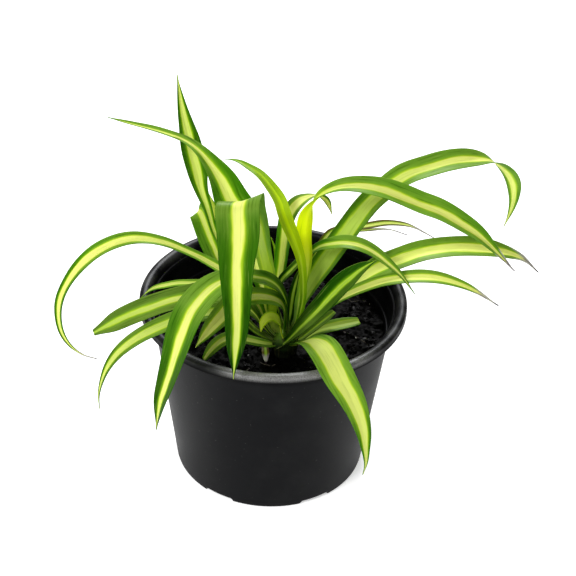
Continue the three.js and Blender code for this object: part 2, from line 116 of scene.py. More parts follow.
# Each leaf: heading seen from above (0 right, 90 back, 180 left, 270 front); midrib points as
# reach from the crown's axis, height above the soil and shift to the left; width and roll at
# even places from root to tip, as are stripe, tone and pale. Stripe is the pale middle's share
# of the half width, tone runs from -1 (lime, painted as lit through) to 1 (deep green, partly the
# blade's own colour and partly painted shade), pale is how far the stripe is bleached, and a low
# pale also paints shaded stripes lime, and dry is the share of the length that is withered at the tip.
LEAVES = [
    {"name": "leaf_tall_left", "heading": 148, "fold": 14,
     "path": [(3, 6, -3), (21.5, 16.5, -4.5), (33.5, 26, -8), (45, 40, -9), (55, 55, -9),
              (59, 67, -9), (64, 79, -9), (67, 91, -9), (70, 101, -9), (73, 113, -9), (76, 125, -9),
              (78, 137, -9), (79, 145, -9)],
     "width": [3, 4, 5, 4.5, 4.5, 4.5, 5, 8, 12.5, 13, 9, 4.5, 0], "roll": [0, -10, -30, -30, -30],
     "stripe": [0.4], "tone": [0.3, 0.2, 0.3, 0.5, 0.35], "pale": [0.75], "dry": 0},
    {"name": "leaf_back_left_long", "heading": 155, "fold": 26,
     "path": [(4, 7), (11.5, 18.5, -0.5), (17, 34.5, -4), (24.5, 55, -5.5), (28.5, 72.5, -5.5),
              (37, 85.5, -4.5), (43.5, 97, -4.5), (50.5, 105, -4.5), (57.5, 111, -4.5),
              (65, 114, -5), (76, 115, -5.5), (88, 115.5, -5.5), (100.5, 115.5, -5.5),
              (115, 116, -5.5)],
     "width": [3, 4, 7, 12, 17.5, 22, 22.5, 18.5, 11.5, 7, 6.3, 5.8, 4.2, 0],
     "roll": [0, -30, -50, -50, -40, -10, 0, 0], "stripe": [0.35, 0.35, 0.32, 0.3, 0.25, 0.2],
     "tone": [0.3, 0.3, 0.25, 0.2, 0.3], "pale": [0.9], "dry": 0},
    {"name": "leaf_inner_left_arch", "heading": 142, "fold": 20,
     "path": [(-5, 10.5), (-8, 22, -0.5), (-9, 37.5, -3), (-7, 58, -3.5), (-4, 70, -2),
              (2, 79, -2.5), (7, 85, -4), (11.5, 90.5, -6), (18.5, 97, -6), (25.5, 101.5, -6),
              (32.5, 103, -6), (39.5, 104, -6), (46.5, 103, -6), (50.5, 101.5, -6)],
     "width": [3, 4, 4.5, 5, 6.5, 8.5, 8, 6, 3.5, 0], "roll": [-22, -22, -20], "stripe": [0.22],
     "tone": [0, -0.1, -0.3, -0.6, -0.85, -0.5, -0.1, 0.2], "pale": [0.1], "dry": 0},
    {"name": "leaf_front_blade", "heading": 275, "fold": 8,
     "path": [(1, 9), (0, 15, -6), (-2, 37, -7.5), (-3.5, 61, -12.5), (-0.5, 81, -16.5),
              (5.5, 95.5, -21.5), (13.5, 106, -25.5), (22.5, 108, -28.5), (29.5, 98.5, -28.5),
              (36.5, 78.5, -29.5), (43.5, 52.5, -29.5), (47.5, 35.5, -30.5), (51.5, 19.5, -31.5)],
     "width": [3, 5, 8, 10, 15, 23, 23, 18.5, 14.5, 10.5, 0], "roll": [0, 4, 11, 4, 0],
     "stripe": [0.6, 0.28, 0.28], "tone": [-0.2, -0.3, 0.1, 0.4, 0.55, 0.8, 1],
     "pale": [0.1, 0.1, 0.7, 1, 0.95, 0.55], "dry": 0},
    {"name": "leaf_front_left_blade", "heading": 220, "fold": 14,
     "path": [(0, 9, 2.5), (1, 22, 2.5), (1.5, 31, 2.5), (3, 38.5, 1), (7, 46.5, -1),
              (12.5, 51.5, -2), (20.5, 57), (32.5, 62.5), (44.5, 64), (54.5, 61), (64.5, 53.5),
              (71.5, 40), (78, 23), (82, 12.5), (85.5, 3.5), (89, -14.5)],
     "width": [3, 5.5, 8.5, 9.5, 9.5, 12.5, 17.5, 19.3, 18.5, 16, 13.2, 8, 0],
     "roll": [-35, -45, -40, -10, -10, -10, -5, 0], "stripe": [0.12, 0.15, 0.22, 0.23, 0.24],
     "tone": [1, 0.9, 0.3, 0.3, 0.45, 0.7, 0.7], "pale": [0.1, 0.5, 0.9, 0.95, 0.85], "dry": 0},
    {"name": "leaf_left_arch", "heading": 185, "fold": 24,
     "path": [(3, 6), (10, 15), (15.5, 28.5, -1.5), (25.5, 44.5, -3.5), (37.5, 53.5, -3.5),
              (52.5, 63.5, -3.5), (68, 71, -3.5), (84, 73, -3.5), (100, 67, -3.5),
              (111.5, 57, -3.5), (120.5, 43.5, -3.5), (124.5, 32.5, -3.5), (125.5, 20, -3.5),
              (124, 11, -3.5), (120, 3, -3.5), (113.5, -3.5, -3.5), (106, -6.5, -3.5)],
     "width": [3, 4.5, 6.5, 7.5, 7.4, 6.2, 7, 9.2, 9.8, 8.8, 6.8, 5.8, 4, 2, 0],
     "roll": [0, -20, -25, -25, -25, -30, -45, -60, -80, -90], "stripe": [0.5, 0.45, 0.4],
     "tone": [0, 0, 0.2, 0.2, 0.5, 0.4], "pale": [0.9, 0.9, 1, 0.9], "dry": 0.04},
    {"name": "leaf_left_upper", "heading": 186, "fold": 12,
     "path": [(3, 3), (12, 15, -0.5), (18, 25, -1.5), (33.5, 37.5, -3.5), (44.5, 37.5, -3.5),
              (53.5, 36, -3.5), (64, 33.5, -3.5), (75, 29.5, -3.5), (86, 24.5, -3.5),
              (98, 18, -3.5), (107, 13, -3.5)],
     "width": [3, 7, 11, 13.5, 14, 13.3, 13, 13.4, 12, 4], "roll": [0, -35, -35],
     "stripe": [0.05, 0.2, 0.22], "tone": [1, 0.75, 0.8, 0.8], "pale": [0.8, 0.8, 0.3], "dry": 0},
    {"name": "leaf_left_lower", "heading": 205, "fold": 12,
     "path": [(3, 3.5, 0.5), (18.5, 16.5), (33, 33, -1.5), (51, 37, -1.5), (65.5, 36.5, -1.5),
              (79.5, 33.5, -1.5), (88.5, 30, -1.5), (97.5, 24, -1.5), (103.5, 16.5, -1.5),
              (107.5, 7.5, -1.5), (109.5, -1.5, -1.5), (109.5, -11, -1.5)],
     "width": [3, 6, 9, 11, 11.5, 10.5, 9.5, 8, 5.5, 2.5, 0], "roll": [0, -30, -15],
     "stripe": [0.1, 0.38, 0.4], "tone": [1, 0.55, 0.7], "pale": [0.1, 0.85], "dry": 0},
    {"name": "leaf_left_small", "heading": 172, "fold": 14,
     "path": [(4, 2, -3), (19.5, 12.5, -2.5), (35.5, 33, -4.5), (46.5, 36, -4.5), (55.5, 35, -4.5),
              (62.5, 34, -4.5), (69.5, 31.5, -4.5), (75, 29.5, -4.5), (80, 25.5, -4.5),
              (84, 20.5, -4.5)],
     "width": [2, 3, 5, 5, 4.5, 4.5, 4, 0], "roll": [0, -20, -20], "stripe": [0.1, 0.5],
     "tone": [1, 0.1], "pale": [0.1, 0.8], "dry": 0},
    {"name": "leaf_left_inner", "heading": 212, "fold": 14,
     "path": [(1, 9), (2, 17.5, 1.5), (2, 26.5, 2), (4, 33.5, 2), (10, 39.5, 2.5), (17, 42.5, 1.5),
              (24.5, 44, 0.5), (33.5, 43.5, 0.5), (41.5, 38.5, 2), (50.5, 33, 3.5),
              (59.5, 25.5, 4.5)],
     "width": [3, 4.5, 7, 9.5, 11, 12, 13, 13.5, 12, 8, 0], "roll": [-40, -40, -30, -20, -15, -10],
     "stripe": [0.25, 0.4, 0.55], "tone": [0.2, 0.3, 0.4, 0.5], "pale": [0.3, 0.8, 1, 1], "dry": 0},
    {"name": "leaf_left_on_soil", "heading": 210, "fold": 10,
     "path": [(3, 4), (10, 6.5), (18.5, 11), (25.5, 15, -0.5), (34, 19, -1), (41, 18, -1),
              (46.5, 14, -1), (50.5, 9, -1)],
     "width": [3, 7, 8, 8, 8, 8, 8, 7, 3], "roll": [0, -20, -20], "stripe": [0.36],
     "tone": [0.2, 0.2, 0.6], "pale": [0.2, 0.6, 0.8], "dry": 0},
    {"name": "leaf_right_front", "heading": 298, "fold": 10,
     "path": [(3, 3.5), (11, 9.5, 1.5), (19, 17, 3), (28.5, 22, 4), (39.5, 23.5, 3.5),
              (54, 16, 4.5), (67.5, 4.5, 7.5), (75, -6.5, 8.5), (79, -17, 8.5), (80.5, -25, 8.5),
              (79, -34.5, 8)],
     "width": [4, 11, 15.5, 18.5, 18.5, 16, 13, 8.5, 3.5, 0], "roll": [0, 10, 0],
     "stripe": [0.46, 0.5, 0.45], "tone": [0.3, 0.2, 0.1, 0.3, 0.4], "pale": [0.6, 0.8, 0.8],
     "dry": 0},
    {"name": "leaf_right_dark", "heading": 330, "fold": 14,
     "path": [(0, 4.5, -6), (5, 11, -7), (12.5, 22.5, -6), (22, 37, -2.5), (32, 53, -1),
              (40, 64, -1), (46, 72, -1), (54, 80.5, -1.5)],
     "width": [3, 6, 10.5, 13.5, 14, 14.5, 14.5, 12, 6.5, 0], "roll": [30, 50, 50],
     "stripe": [0.14], "tone": [1, 0.9, 0.8], "pale": [0.15], "dry": 0},
    {"name": "leaf_right_big_arch", "heading": 20, "fold": 18,
     "path": [(3, 10, 0.5), (7.5, 18, 1.5), (13, 28.5, 4.5), (22, 42.5, 8), (29.5, 54, 8),
              (36.5, 64, 8), (43.5, 74, 8), (51, 83.5, 8), (60, 90.5, 8), (70, 96.5, 8.5),
              (85, 99.5, 8.5), (96.5, 101, 8.5), (109.5, 100.5, 8.5), (122.5, 97.5, 8.5),
              (131.5, 90.5, 8.5), (138, 81.5, 8.5), (140.5, 70.5, 8.5), (139.5, 61, 8.5),
              (136.5, 52, 8.5)],
     "width": [3, 6.5, 12, 15.5, 15.5, 15.5, 15.5, 15, 15, 15, 15, 14, 12, 11, 9.5, 4.5, 0],
     "roll": [0, 10, 20, 25, 25, 25, 24, 22, -28, -50, -40],
     "stripe": [0.5, 0.55, 0.55, 0.35, 0.3, 0.35, 0.4], "tone": [0.3, 0.5, 0.5, 0.2, 0.2, 0.2, 0.6],
     "pale": [0.3, 0.35, 0.4, 0.75, 0.95, 0.95, 0.8], "dry": 0},
    {"name": "leaf_right_second_arch", "heading": 0, "fold": 22,
     "path": [(3.5, 11, -1), (7, 22, -1.5), (7.5, 30, 1.5), (11, 53.5, 6), (9.5, 70, 7),
              (10, 80, 7), (11.5, 89, 7), (15.5, 96, 7), (21.5, 101, 6), (28.5, 103.5, 6),
              (37, 104, 6), (48, 102.5, 6), (59, 98.5, 6), (70, 93.5, 6), (80.5, 89.5, 6),
              (92.5, 82.5, 6), (103.5, 75, 6), (114.5, 64.5, 6), (125.5, 53, 6)],
     "width": [3, 4.5, 6.5, 8.5, 11, 12.5, 10, 12, 14.5, 16, 16, 14.5, 11.5, 5.5, 0],
     "roll": [-60, -60, -60, -60, -52, -5, 18, 25, 25, 25, 25, 25, 20], "stripe": [0.3],
     "tone": [0.1, 0, -0.4, -1, -0.9, 0.1, 0.05, 0, 0, 0, 0, 0.1],
     "pale": [0.5, 0.5, 0.9, 0.95, 0.95], "dry": 0.05},
    {"name": "leaf_right_small_arch", "heading": 352, "fold": 22,
     "path": [(-0.5, 11, 5), (-4.5, 21.5, 6.5), (-6, 32, 8), (-4, 40.5, 9.5), (1.5, 47.5, 10.5),
              (7, 53.5, 13.5), (12.5, 58.5, 15), (17, 63.5, 12.5), (22, 67, 9.5), (30, 69.5, 8.5),
              (39, 69, 7.5), (47, 65.5, 7), (54.5, 60.5, 6), (61.5, 54.5, 5.5), (70.5, 44.5, 3.5)],
     "width": [3, 4, 5, 5.5, 5.5, 5.5, 6.5, 9.5, 10, 8.8, 6.5, 3, 0],
     "roll": [30, 45, 45, 30, 20, 20, 20, 20], "stripe": [0.25, 0.25, 0.3],
     "tone": [0.8, 0.9, 0.4, 0.3, 0.3], "pale": [0.2, 0.4, 0.95, 0.9], "dry": 0},
    {"name": "leaf_right_broad", "heading": 14, "fold": 18,
     "path": [(4, 7), (15, 18.5, 0.5), (27, 29.5, 1.5), (37, 36, 2.5), (46.5, 42, 2.5),
              (54.5, 46.5, 2.5), (66, 50.5, 2.5), (77, 53.5, 2.5), (89, 54.5, 2.5), (101, 54, 2.5),
              (113, 52, 2.5), (125.5, 48.5, 2.5), (138.5, 43, 2.5), (151.5, 31, 2.5)],
     "width": [3, 4.5, 7.5, 12, 15, 15.5, 15.5, 15, 15, 11.5, 6, 0], "roll": [0, 15, 20, 20],
     "stripe": [0.4], "tone": [0.5, 0.5, 0.2, 0.15, 0.1], "pale": [0.8, 0.9, 0.95], "dry": 0.12},
    {"name": "leaf_right_lower", "heading": 358, "fold": 18,
     "path": [(4, 5, -2), (16, 20.5), (25.5, 30.5, 2.5), (35, 37, 4), (51.5, 46, 4), (62, 49, 4),
              (73, 50.5, 4), (84, 50, 4), (95, 47, 4), (104, 43, 4), (118, 34, 4)],
     "width": [3, 3.5, 5.5, 8, 8.5, 8.5, 9, 9.5, 8.5, 6, 3, 0], "roll": [0, 20, 20],
     "stripe": [0.45], "tone": [0.2, 0.2, 0.1], "pale": [0.9, 1], "dry": 0.12},
    {"name": "leaf_right_on_soil", "heading": 8, "fold": 10,
     "path": [(4, 2.5), (11, 6), (18.5, 11, 0.5), (29, 13.5, 1), (43, 14.5, 3)],
     "width": [3, 6, 8.5, 10, 10, 9, 6], "roll": [0, 10], "stripe": [0.5], "tone": [0.2, 0.1],
     "pale": [0.3], "dry": 0},
    {"name": "leaf_right_low_dark", "heading": 340, "fold": 12,
     "path": [(3, 3, 0.5), (8.5, 7.5, 3.5), (16, 15, 9), (23, 20.5, 18)],
     "width": [3, 5.5, 8, 8.5, 7.5, 4], "roll": [20, 30], "stripe": [0.05], "tone": [0.8, 0.7],
     "pale": [0.1], "dry": 0},
    {"name": "leaf_back_right_dry", "heading": 40, "fold": 12,
     "path": [(2, 5, 1), (8, 14, 5), (17, 29, 8), (30, 44.5, 11), (41, 56.5, 11), (53, 55.5, 9.5),
              (66, 53, 8.5), (82, 49, 8.5), (101, 40.5, 8.5), (117, 29, 8.5), (129, 19.5, 8.5)],
     "width": [2, 3.5, 5.5, 6.5, 6.5, 6, 4, 0], "roll": [0, 10], "stripe": [0.35],
     "tone": [0.4, 0.2], "pale": [0.8], "dry": 0.22},
    {"name": "leaf_back_right_thin", "heading": 40, "fold": 8,
     "path": [(3, 7, -1), (8, 11, 1), (16, 24, 4), (25.5, 42.5, 6), (36, 56, 6), (48, 57.5, 4.5),
              (60, 55.5, 2.5), (77, 50, 2.5), (96, 38.5, 2.5)],
     "width": [2, 2, 2.3, 2.5, 2.2, 0], "roll": [0, 0], "stripe": [0.3], "tone": [0.6, 0.6],
     "pale": [0.5], "dry": 0.3},
    {"name": "leaf_back_centre_arch", "heading": 50, "fold": 18,
     "path": [(1, 9, 5), (7, 18.5, 12.5), (9.5, 33, 13.5), (11.5, 49, 13), (12.5, 63.5, 12.5),
              (14.5, 75.5, 12.5), (19.5, 80, 12.5), (25.5, 81.5, 12.5), (32.5, 80.5, 13),
              (39.5, 78.5, 13), (45, 75, 13), (50, 69.5, 13), (55, 59, 13)],
     "width": [3, 5, 7.5, 9, 10, 10, 10, 9.5, 7, 4.5, 0], "roll": [0, 0, 0, 10, -20, -40],
     "stripe": [0.45], "tone": [-0.3, 0, 0.1, 0.3, 0.6, 0.6], "pale": [0.8, 0.9, 1], "dry": 0},
    {"name": "leaf_back_left_folded", "heading": 138, "fold": 10,
     "path": [(3, 3, -4), (20, 6, -4.5), (40, 13.5, -9), (52, 19.5, -9.5), (61, 27.5, -9.5),
              (70, 40.5, -9.5), (77.5, 53, -9.5), (79.5, 54, -10), (81, 50, -11.5), (81, 41, -13.5),
              (79, 30, -15.5)],
     "width": [3, 6, 8, 10, 12, 14, 14.5, 13.5, 9, 0], "roll": [0, -15, -30, -35], "stripe": [0.2],
     "tone": [0.4, 0.3, 0.2], "pale": [0.8], "dry": 0},
    {"name": "leaf_inner_narrow_dark", "heading": 150, "fold": 14,
     "path": [(3, 10, -1), (8, 17, -1.5), (12.5, 26.5, -5), (17.5, 36.5, -9.5), (24.5, 47.5, -12),
              (28.5, 55, -12)],
     "width": [2, 3, 4, 4, 3, 0], "roll": [0, -30], "stripe": [0.25], "tone": [0.6, 0.4],
     "pale": [0.6], "dry": 0},
    {"name": "leaf_inner_upright", "heading": 60, "fold": 14,
     "path": [(3, 11, 0.5), (6.5, 19.5, 0.5), (10.5, 30.5, 1.5), (16, 43.5, 1), (22.5, 45.5, 1)],
     "width": [2, 5, 6, 5, 3, 0], "roll": [0, 0], "stripe": [0.2], "tone": [0.9, 0.9],
     "pale": [0.4], "dry": 0},
    {"name": "leaf_front_curl", "heading": 205, "fold": 14,
     "path": [(2.5, 8.5, 4), (4.5, 15.5, 4), (6.5, 23.5, 5.5), (10.5, 29.5, 6.5), (14, 31, 7),
              (17, 28, 7), (18, 21.5, 7)],
     "width": [1.2, 2.2, 5, 7, 6.5, 4.5, 0], "roll": [0, -30, -40], "stripe": [0.7],
     "tone": [-0.5, -0.6], "pale": [0.6], "dry": 0},
    {"name": "leaf_front_on_soil", "heading": 240, "fold": 8,
     "path": [(3, 2, -1), (3, 2.5, -5), (4, 3, -8.5), (8, 3.5, -8), (12.5, 4, -5), (17, 3.5, -2),
              (21, 3, 0.5)],
     "width": [1.5, 2, 2.5, 3.8, 4.4, 3.2, 0], "roll": [0, 0], "stripe": [0.2], "tone": [0.6, 0.5],
     "pale": [0.1], "dry": 0.3},
    {"name": "leaf_back_sprout", "heading": 105, "fold": 8,
     "path": [(4, 3, -4.5), (12, 4.5, -3), (20.5, 13), (28, 30.5, -1), (31.5, 42.5, -2.5),
              (36.5, 52.5)],
     "width": [2, 2, 3, 4, 3.5, 0], "roll": [0, 0], "stripe": [0.3], "tone": [-0.2, -0.2],
     "pale": [0.4], "dry": 0},
    {"name": "leaf_back_left_upright", "heading": 148, "fold": 8,
     "path": [(3, 7, -5.5), (27, 15, -14), (40, 25, -16.5), (47, 34, -15), (52, 47.5, -15),
              (58, 59, -15), (61.5, 68, -15), (65, 77, -15)],
     "width": [2, 3, 4, 4.5, 5, 7, 6, 0], "roll": [0, -20, -40], "stripe": [0.75],
     "tone": [-0.2, -0.1], "pale": [0.85], "dry": 0},
]


# Materials

# Settings of the nodes used most. A colour mix takes its share at 0 and its colours at 6 and 7.
TIMES = {"operation": "MULTIPLY"}
PLUS = {"operation": "ADD"}
MINUS = {"operation": "SUBTRACT"}
LARGER = {"operation": "MAXIMUM"}
SMALLER = {"operation": "MINIMUM"}
STEP = {"interpolation_type": "SMOOTHSTEP"}
COLOURS = {"data_type": "RGBA"}


def srgb(code):
    """Linear colour from an sRGB hex value."""
    parts = [int(code[i:i + 2], 16) / 255 for i in (1, 3, 5)]
    return tuple(c / 12.92 if c <= 0.04045 else ((c + 0.055) / 1.055) ** 2.4 for c in parts) + (1.0,)


def put(tree, kind, inputs=(), settings=None, stops=()):
    """Adds a node. Inputs go by place or by name, and each is a value, a socket or a node, whose
    result is used. Stops are the places and sRGB hex values of a colour ramp."""
    made = tree.nodes.new("ShaderNode" + kind)
    for key, value in (settings or {}).items():
        setattr(made, key, value)
    for key, value in inputs.items() if isinstance(inputs, dict) else enumerate(inputs):
        if isinstance(value, bpy.types.Node):
            value = next(socket for socket in value.outputs if socket.enabled)
        if isinstance(value, bpy.types.NodeSocket):
            tree.links.new(value, made.inputs[key])
        else:
            made.inputs[key].default_value = value
    if stops:
        elements = made.color_ramp.elements
        while len(elements) < len(stops):
            elements.new(0.5)
        for element, (place, code) in zip(elements, stops):
            element.position = place
            element.color = srgb(code)
    return made


def new_finish(name):
    made = bpy.data.materials.new(name)
    made.use_nodes = True
    made.node_tree.nodes.clear()
    return made, made.node_tree


def leaf_finish(name, underside):
    """Living leaf blade, grown in lengthwise fibres. A waxy skin gives a satin sheen on green margins,
    which is partly real gloss and partly a painted sheen on faces that look up. It has a cream middle,
    fine streaks along the blade, light glowing through it, and painted light and shade in its tone."""
    made, tree = new_finish(name)
    grown = []
    for layer in ("blade_place", "blade_look", "blade_wear"):
        vector = put(tree, "Attribute", (), {"attribute_name": layer}).outputs["Vector"]
        grown.extend(put(tree, "SeparateXYZ", [vector]).outputs)
    across, share, millimetres, stripe, tone, pale, dry, seed, half = grown

    # Streaks: 1 mm across the blade and some 20 mm along it, with finer ones among them.
    run = put(tree, "CombineXYZ", [
        put(tree, "Math", [across, half], TIMES), put(tree, "Math", [millimetres, 1 / 20], TIMES),
        put(tree, "Math", [seed, 17.0], TIMES)])
    streak = put(tree, "TexNoise", {"Vector": run, "Scale": 1.0, "Detail": 4.0, "Roughness": 0.62})
    # The stripe's edge wanders by about a tenth of the blade over some 25 mm.
    drift = put(tree, "CombineXYZ", [
        put(tree, "Math", [across, 1.5], TIMES), put(tree, "Math", [millimetres, 1 / 25], TIMES),
        put(tree, "Math", [seed, 5.0], TIMES)])
    wander = put(tree, "TexNoise", {"Vector": drift, "Scale": 1.0, "Detail": 2.0})
    wander = put(tree, "Math", [put(tree, "Math", [wander, 0.5], MINUS), 0.35], TIMES)
    away = put(tree, "Math", [put(tree, "Math", [across, wander], PLUS)], {"operation": "ABSOLUTE"})
    # Band is 0.5 at the stripe's ragged edge, less in the stripe and more in the margins.
    ragged = put(tree, "Math", [put(tree, "Math", [streak, 0.5], MINUS), 0.16], TIMES)
    ragged = put(tree, "Math", [away, ragged], PLUS)
    band = put(tree, "Math", [put(tree, "Math", [ragged, stripe], MINUS), 0.5], PLUS)

    if underside:
        stops = [(0.42, "#eef394"), (0.52, "#cbe04a"), (0.62, "#9cc838"), (0.80, "#82b43c")]
        deep, lime = "#2f6a10", "#f7fa16"
    else:
        stops = [(0.43, "#f3f690"), (0.49, "#e2ee56"), (0.54, "#accf28"), (0.62, "#72ac14"),
                 (0.90, "#529610")]
        deep, lime = "#043a00", "#e2f600"
    colour = put(tree, "ValToRGB", [band], {}, stops)
    # Stripes with a low pale are lime rather than cream, partly their own colour and partly painted
    # shade.
    middle = put(tree, "MapRange", [band, 0.62, 0.42], STEP)
    lime_stripe = put(tree, "Math", [middle, put(tree, "Math", [1.0, pale], MINUS)], TIMES)
    colour = put(tree, "Mix", {0: lime_stripe, 6: colour, 7: srgb("#9fca30")}, COLOURS)
    # Tone deepens the margins above 0, partly as painted shade, and turns the whole blade lime below it,
    # partly as painted light shining through.
    margin = put(tree, "MapRange", [band, 0.48, 0.82], STEP)
    deepened = put(tree, "Math", [margin, put(tree, "Math", [tone, 0.0], LARGER)], TIMES)
    colour = put(tree, "Mix", {0: deepened, 6: colour, 7: srgb(deep)}, COLOURS)
    limed = put(tree, "Math", [put(tree, "Math", [tone, -0.9], TIMES), 0.0], LARGER)
    colour = put(tree, "Mix", {0: limed, 6: colour, 7: srgb(lime)}, COLOURS)
    # Faces that look up are painted paler, a painted sheen of the light from above, which shows on the
    # green parts.
    normal = put(tree, "NewGeometry").outputs["Normal"]
    up = put(tree, "SeparateXYZ", [normal]).outputs["Z"]
    painted_sheen = put(tree, "Math", [
        put(tree, "MapRange", [up, 0.25, 0.80, 0.0, 0.42], STEP),
        put(tree, "MapRange", [band, 0.50, 0.62], STEP)], TIMES)
    colour = put(tree, "Mix", {0: painted_sheen, 6: colour, 7: srgb("#a4c64e")}, COLOURS)
    # Streaks darken and lighten the fibres, more in the margins than in the middle, and least
    # on the youngest lime blades.
    streaked = put(tree, "Math", [
        put(tree, "MapRange", [band, 0.46, 0.60, 0.3, 1.0], STEP),
        put(tree, "MapRange", [tone, -0.8, 0.0, 0.3, 1.0], STEP)], TIMES)
    darker = put(tree, "MapRange", [streak, 0.50, 0.30, 0.0, 0.75], STEP)
    darker = put(tree, "Math", [streaked, darker], TIMES)
    colour = put(tree, "Mix", {0: darker, 6: colour, 7: srgb("#86a848")},
                 {"data_type": "RGBA", "blend_type": "MULTIPLY"})
    lighter = put(tree, "MapRange", [streak, 0.54, 0.74, 0.0, 0.20], STEP)
    lighter = put(tree, "Math", [streaked, lighter], TIMES)
    colour = put(tree, "Mix", {0: lighter, 6: colour, 7: srgb("#b9d060")},
                 {"data_type": "RGBA", "blend_type": "SCREEN"})
    # The sheathing base is bleached.
    base = put(tree, "MapRange", [share, 0.10, 0.0, 0.0, 0.55], STEP)
    colour = put(tree, "Mix", {0: base, 6: colour, 7: srgb("#c6d67c")}, COLOURS)
    # The driest blades have red-brown edges.
    rusty = put(tree, "Math", [
        put(tree, "MapRange", [dry, 0.10, 0.20, 0.0, 0.75], STEP),
        put(tree, "MapRange", [band, 0.62, 0.80], STEP)], TIMES)
    colour = put(tree, "Mix", {0: rusty, 6: colour, 7: srgb("#6e4426")}, COLOURS)
    # The tip withers from the edges in, along the fibres, and is dead at its very end.
    any_dry = put(tree, "MapRange", [dry, 0.0, 0.01], STEP)
    frayed = put(tree, "Math", [put(tree, "Math", [0.6, streak], MINUS), 0.08], TIMES)
    from_tip = put(tree, "Math", [put(tree, "Math", [1.0, share], MINUS), frayed], PLUS)
    edge_in = put(tree, "Math", [from_tip, put(tree, "Math", [away, 0.05], TIMES)], MINUS)
    withered = put(tree, "MapRange", [
        edge_in, dry, put(tree, "Math", [dry, 0.55], TIMES)], STEP)
    withered = put(tree, "Math", [withered, any_dry], TIMES)
    fibre = put(tree, "MapRange", [streak, 0.42, 0.58], STEP)
    straw = put(tree, "Mix", {0: fibre, 6: srgb("#857a7e"), 7: srgb("#d2d2c2")}, COLOURS)
    colour = put(tree, "Mix", {0: withered, 6: colour, 7: straw}, COLOURS)
    dead = put(tree, "MapRange", [
        from_tip, put(tree, "Math", [dry, 0.4], TIMES), put(tree, "Math", [dry, 0.12], TIMES)], STEP)
    dead = put(tree, "Math", [dead, any_dry], TIMES)
    colour = put(tree, "Mix", {0: dead, 6: colour, 7: srgb("#2c2026")}, COLOURS)

    relief = put(tree, "Bump", {"Height": streak, "Strength": 0.35, "Distance": 0.15 * MM})
    skin = put(tree, "BsdfPrincipled", {
        "Base Color": colour, "Normal": relief, "Roughness": 0.5 if underside else 0.4,
        "Specular IOR Level": 0.11, "Specular Tint": srgb("#c4e07c")})
    glow = put(tree, "BsdfTranslucent", {"Color": colour})
    # The youngest lime blades are the thinnest and let the most light through.
    young = put(tree, "Math", [put(tree, "Math", [tone, 0.0], SMALLER), -0.22], TIMES)
    through = put(tree, "Math", [0.36, young], PLUS)
    both = put(tree, "MixShader", [through, skin, glow])
    put(tree, "OutputMaterial", {"Surface": both})
    return made


def pot_finish():
    """Injection-moulded black polypropylene. Its spark-eroded mould leaves a fine grain that greys the
    highlights, with dust on the rim and a painted highlight on its front."""
    made, tree = new_finish("moulded_black_polypropylene")
    where = put(tree, "TexCoord").outputs["Object"]
    # Grain of 0.5 mm, drawn coarser than the real 0.1 mm so that it shows.
    grain = put(tree, "TexNoise", {"Vector": where, "Scale": 1 / (0.5 * MM), "Detail": 3.0})
    cloud = put(tree, "TexNoise", {
        "Vector": where, "Scale": 1 / (28 * MM), "Detail": 5.0, "Roughness": 0.65})
    speck = put(tree, "TexNoise", {"Vector": where, "Scale": 1 / (1.6 * MM), "Detail": 1.0})
    aside, depth, height = put(tree, "SeparateXYZ", [where]).outputs
    top = put(tree, "MapRange", [height, 108.5 * MM, 112 * MM], STEP)
    # Dust lies in clouds, mostly on the rim, with pale specks all over.
    dust = put(tree, "Math", [put(tree, "Math", [top, 0.5], TIMES), 0.06], PLUS)
    dust = put(tree, "Math", [put(tree, "MapRange", [cloud, 0.42, 0.72], STEP), dust], TIMES)
    colour = put(tree, "Mix", {0: dust, 6: srgb("#060607"), 7: srgb("#4a4a48")}, COLOURS)
    specks = put(tree, "MapRange", [speck, 0.74, 0.80, 0.0, 0.10], STEP)
    colour = put(tree, "Mix", {0: specks, 6: colour, 7: srgb("#8d8b84")}, COLOURS)
    # The front of the rim is painted pale as a highlight, broken up by the grain, and the rest of the rim
    # is polished in patches.
    painted_highlight = top
    for place, low, high, faint in ((depth, -45 * MM, -70 * MM, 0.0), (aside, -32 * MM, -16 * MM, 0.0),
                                    (grain, 0.32, 0.62, 0.4)):
        patch = put(tree, "MapRange", [place, low, high, faint, 1.0], STEP)
        painted_highlight = put(tree, "Math", [painted_highlight, patch], TIMES)
    half_painted_highlight = put(tree, "Math", [painted_highlight, 0.5], TIMES)
    colour = put(tree, "Mix", {0: half_painted_highlight, 6: colour, 7: srgb("#a09f9a")}, COLOURS)
    polish = put(tree, "Math", [
        top, put(tree, "MapRange", [cloud, 0.36, 0.58, 0.25, 1.0], STEP)], TIMES)
    # The gloss is lowered from just under the lip upwards, a painted shade that darkens the wall under
    # the lip and the lip's face.
    lip_shade = put(tree, "MapRange", [height, 98.5 * MM, 104.5 * MM], STEP)
    gloss = put(tree, "Math", [0.065, put(tree, "Math", [lip_shade, 0.045], TIMES)], MINUS)
    gloss = put(tree, "Math", [gloss, put(tree, "Math", [polish, 0.07], TIMES)], PLUS)
    gloss = put(tree, "Math", [gloss, put(tree, "Math", [painted_highlight, 0.6], TIMES)], PLUS)
    rough = put(tree, "Math", [0.40, put(tree, "Math", [cloud, 0.16], TIMES)], PLUS)
    rough = put(tree, "Math", [rough, put(tree, "Math", [top, 0.10], TIMES)], MINUS)
    relief = put(tree, "Bump", {"Height": grain, "Strength": 0.22, "Distance": 0.12 * MM})
    skin = put(tree, "BsdfPrincipled", {
        "Base Color": colour, "Normal": relief, "Roughness": rough, "Specular IOR Level": gloss,
        "Specular Tint": srgb("#eef3ff")})
    put(tree, "OutputMaterial", {"Surface": skin})
    return made


